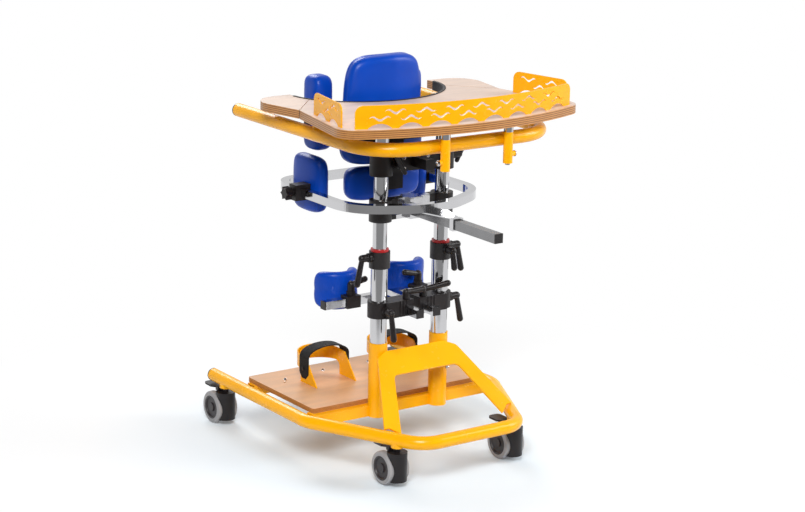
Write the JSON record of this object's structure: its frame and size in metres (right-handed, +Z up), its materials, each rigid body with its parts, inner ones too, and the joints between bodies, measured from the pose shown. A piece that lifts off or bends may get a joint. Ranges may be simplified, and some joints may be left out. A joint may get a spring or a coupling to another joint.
{
  "type": "standing_frame",
  "caption": "Child's wheeled standing frame with footboard, knee cups, padded hip ring, chest pads and plywood table.",
  "frame": {"origin": "On the floor under the middle of the frame's bounding box.", "axes": "+Z up, +Y to the rear where the child stands, +X to the right of someone facing the nose from behind it"},
  "size_m": [0.6582, 0.81, 0.946],
  "materials": {
    "yellow_paint": "golden yellow powder coat, semi-gloss",
    "chrome_plate": "bright chrome plate on steel tube",
    "black_plastic": "black moulded plastic, lightly textured",
    "black_steel": "black powder coat, satin",
    "lever_plastic": "black moulded plastic, smooth",
    "beech_ply": "pale beech plywood, clear satin lacquer, layered edge",
    "black_webbing": "woven black webbing",
    "blue_vinyl": "royal blue upholstery vinyl over foam, soft sheen",
    "grey_tyre": "grey rubber tyre on a dark hub"
  },
  "bodies": {
    "base": {"base_tube": "yellow_paint", "post_carrier": "yellow_paint", "rear_crossbar": "yellow_paint", "brace_plate": "yellow_paint", "base_fittings": "black_plastic", "footboard": "beech_ply", "foot_sandals": "yellow_paint", "foot_straps": "black_webbing", "lower_posts": "chrome_plate", "post_collars": "black_plastic"},
    "column": {"upper_posts": "chrome_plate", "post_heads": "black_plastic", "table_frame": "yellow_paint", "frame_end_plugs": "black_plastic"},
    "table": {"table_panels": "beech_ply", "table_fence": "yellow_paint", "table_fittings": "chrome_plate"},
    "chest_unit": {"pad_carrier": "black_steel", "chest_pad": "blue_vinyl", "pelvis_pad": "blue_vinyl", "side_pads": "blue_vinyl"},
    "hip_mount": {"hip_carrier": "black_plastic"},
    "hip_slider": {"hip_bar": "chrome_plate", "hip_ring": "chrome_plate", "hip_clamps": "black_plastic", "hip_pad_left": "blue_vinyl", "hip_pad_right": "blue_vinyl"},
    "caster_front_left": {"caster_hood_front_left": "black_plastic"},
    "wheels_front_left": {"caster_wheels_front_left": "grey_tyre"},
    "pedal_front_left": {"brake_pedal_front_left": "lever_plastic"},
    "caster_front_right": {"caster_hood_front_right": "black_plastic"},
    "wheels_front_right": {"caster_wheels_front_right": "grey_tyre"},
    "pedal_front_right": {"brake_pedal_front_right": "lever_plastic"},
    "caster_rear_left": {"caster_hood_rear_left": "black_plastic"},
    "wheels_rear_left": {"caster_wheels_rear_left": "grey_tyre"},
    "pedal_rear_left": {"brake_pedal_rear_left": "lever_plastic"},
    "caster_rear_right": {"caster_hood_rear_right": "black_plastic"},
    "wheels_rear_right": {"caster_wheels_rear_right": "grey_tyre"},
    "pedal_rear_right": {"brake_pedal_rear_right": "lever_plastic"},
    "collar_lever_left": {"collar_lever_left": "lever_plastic"},
    "collar_lever_right": {"collar_lever_right": "lever_plastic"},
    "collar_lever_front": {"collar_lever_front": "lever_plastic"},
    "tee_handle_left": {"tee_handle_left": "lever_plastic"},
    "tee_handle_right": {"tee_handle_right": "lever_plastic"},
    "hip_knob_left": {"hip_knob_left": "lever_plastic"},
    "hip_knob_right": {"hip_knob_right": "lever_plastic"},
    "knee_mount_left": {"knee_block_left": "black_plastic"},
    "knee_slider_left": {"knee_bar_left": "chrome_plate"},
    "knee_cup_left": {"knee_bracket_left": "black_plastic", "knee_pad_left": "blue_vinyl"},
    "block_lever_left": {"block_lever_left": "lever_plastic"},
    "bar_lever_left": {"bar_lever_left": "lever_plastic"},
    "cup_lever_left": {"cup_lever_left": "lever_plastic"},
    "knee_mount_right": {"knee_block_right": "black_plastic"},
    "knee_slider_right": {"knee_bar_right": "chrome_plate"},
    "knee_cup_right": {"knee_bracket_right": "black_plastic", "knee_pad_right": "blue_vinyl"},
    "block_lever_right": {"block_lever_right": "lever_plastic"},
    "bar_lever_right": {"bar_lever_right": "lever_plastic"},
    "cup_lever_right": {"cup_lever_right": "lever_plastic"}
  },
  "joints": [
    {"name": "column_height", "type": "slide", "parent": "base", "child": "column", "axis": [0, 0, 1], "range_m": [-0.03, 0.15]},
    {"name": "table_lift", "type": "slide", "parent": "column", "child": "table", "axis": [0, 0, 1], "range_m": [0, 0.05]},
    {"name": "chest_depth", "type": "slide", "parent": "column", "child": "chest_unit", "axis": [0, 1, 0], "range_m": [0, 0.04]},
    {"name": "hip_height", "type": "slide", "parent": "column", "child": "hip_mount", "axis": [0, 0, 1], "range_m": [-0.03, 0.01]},
    {"name": "hip_depth", "type": "slide", "parent": "hip_mount", "child": "hip_slider", "axis": [0, 1, 0], "range_m": [-0.05, 0.01]},
    {"name": "swivel_front_left", "type": "hinge", "parent": "base", "child": "caster_front_left", "pos_m": [-0.16812, -0.265, 0.09], "axis": [0, 0, 1], "continuous": true},
    {"name": "roll_front_left", "type": "hinge", "parent": "caster_front_left", "child": "wheels_front_left", "pos_m": [-0.16812, -0.239, 0.04], "axis": [1, 0, 0], "continuous": true},
    {"name": "brake_front_left", "type": "hinge", "parent": "caster_front_left", "child": "pedal_front_left", "pos_m": [-0.16812, -0.246, 0.0887], "axis": [1, 0, 0], "range_deg": [-7, 0]},
    {"name": "swivel_front_right", "type": "hinge", "parent": "base", "child": "caster_front_right", "pos_m": [0.16812, -0.265, 0.09], "axis": [0, 0, 1], "continuous": true},
    {"name": "roll_front_right", "type": "hinge", "parent": "caster_front_right", "child": "wheels_front_right", "pos_m": [0.16812, -0.239, 0.04], "axis": [1, 0, 0], "continuous": true},
    {"name": "brake_front_right", "type": "hinge", "parent": "caster_front_right", "child": "pedal_front_right", "pos_m": [0.16812, -0.246, 0.0887], "axis": [1, 0, 0], "range_deg": [-7, 0]},
    {"name": "swivel_rear_left", "type": "hinge", "parent": "base", "child": "caster_rear_left", "pos_m": [-0.275, 0.325, 0.09], "axis": [0, 0, 1], "continuous": true},
    {"name": "roll_rear_left", "type": "hinge", "parent": "caster_rear_left", "child": "wheels_rear_left", "pos_m": [-0.275, 0.351, 0.04], "axis": [1, 0, 0], "continuous": true},
    {"name": "brake_rear_left", "type": "hinge", "parent": "caster_rear_left", "child": "pedal_rear_left", "pos_m": [-0.275, 0.344, 0.0887], "axis": [1, 0, 0], "range_deg": [-7, 0]},
    {"name": "swivel_rear_right", "type": "hinge", "parent": "base", "child": "caster_rear_right", "pos_m": [0.275, 0.325, 0.09], "axis": [0, 0, 1], "continuous": true},
    {"name": "roll_rear_right", "type": "hinge", "parent": "caster_rear_right", "child": "wheels_rear_right", "pos_m": [0.275, 0.351, 0.04], "axis": [1, 0, 0], "continuous": true},
    {"name": "brake_rear_right", "type": "hinge", "parent": "caster_rear_right", "child": "pedal_rear_right", "pos_m": [0.275, 0.344, 0.0887], "axis": [1, 0, 0], "range_deg": [-7, 0]},
    {"name": "collar_lever_left_turn", "type": "hinge", "parent": "base", "child": "collar_lever_left", "pos_m": [-0.121, -0.065, 0.492], "axis": [-1, 0, 0], "range_deg": [-40, 40]},
    {"name": "collar_lever_right_turn", "type": "hinge", "parent": "base", "child": "collar_lever_right", "pos_m": [0.121, -0.065, 0.492], "axis": [1, 0, 0], "range_deg": [-40, 40]},
    {"name": "collar_lever_front_turn", "type": "hinge", "parent": "base", "child": "collar_lever_front", "pos_m": [0.088, -0.098, 0.492], "axis": [0, -1, 0], "range_deg": [-40, 40]},
    {"name": "tee_handle_left_turn", "type": "hinge", "parent": "column", "child": "tee_handle_left", "pos_m": [-0.061, -0.089, 0.7145], "axis": [0, -1, 0], "continuous": true},
    {"name": "tee_handle_right_turn", "type": "hinge", "parent": "column", "child": "tee_handle_right", "pos_m": [0.123, -0.065, 0.7145], "axis": [1, 0, 0], "continuous": true},
    {"name": "hip_knob_left_turn", "type": "hinge", "parent": "hip_slider", "child": "hip_knob_left", "pos_m": [-0.2063, 0.13, 0.62], "axis": [-1, 0, 0], "continuous": true},
    {"name": "hip_knob_right_turn", "type": "hinge", "parent": "hip_slider", "child": "hip_knob_right", "pos_m": [0.2063, 0.13, 0.62], "axis": [1, 0, 0], "continuous": true},
    {"name": "knee_height_left", "type": "slide", "parent": "base", "child": "knee_mount_left", "axis": [0, 0, 1], "range_m": [-0.02, 0.02]},
    {"name": "knee_depth_left", "type": "slide", "parent": "knee_mount_left", "child": "knee_slider_left", "axis": [0, 1, 0], "range_m": [-0.03, 0.03]},
    {"name": "knee_width_left", "type": "slide", "parent": "knee_slider_left", "child": "knee_cup_left", "axis": [-1, 0, 0], "range_m": [-0.03, 0.03]},
    {"name": "block_lever_left_turn", "type": "hinge", "parent": "knee_mount_left", "child": "block_lever_left", "pos_m": [-0.088, -0.1, 0.3645], "axis": [0, -1, 0], "range_deg": [-40, 40]},
    {"name": "bar_lever_left_turn", "type": "hinge", "parent": "knee_mount_left", "child": "bar_lever_left", "pos_m": [-0.024, -0.086, 0.384], "axis": [0, 0, 1], "range_deg": [-40, 5]},
    {"name": "cup_lever_left_turn", "type": "hinge", "parent": "knee_cup_left", "child": "cup_lever_left", "pos_m": [-0.098, 0.038, 0.384], "axis": [0, 0, 1], "range_deg": [-50, 0]},
    {"name": "knee_height_right", "type": "slide", "parent": "base", "child": "knee_mount_right", "axis": [0, 0, 1], "range_m": [-0.02, 0.02]},
    {"name": "knee_depth_right", "type": "slide", "parent": "knee_mount_right", "child": "knee_slider_right", "axis": [0, 1, 0], "range_m": [-0.03, 0.03]},
    {"name": "knee_width_right", "type": "slide", "parent": "knee_slider_right", "child": "knee_cup_right", "axis": [1, 0, 0], "range_m": [-0.03, 0.03]},
    {"name": "block_lever_right_turn", "type": "hinge", "parent": "knee_mount_right", "child": "block_lever_right", "pos_m": [0.123, -0.065, 0.3645], "axis": [1, 0, 0], "range_deg": [-40, 40]},
    {"name": "bar_lever_right_turn", "type": "hinge", "parent": "knee_mount_right", "child": "bar_lever_right", "pos_m": [0.024, -0.086, 0.384], "axis": [0, 0, 1], "range_deg": [-40, 5]},
    {"name": "cup_lever_right_turn", "type": "hinge", "parent": "knee_cup_right", "child": "cup_lever_right", "pos_m": [0.098, 0.038, 0.384], "axis": [0, 0, 1], "range_deg": [0, 50]}
  ]
}
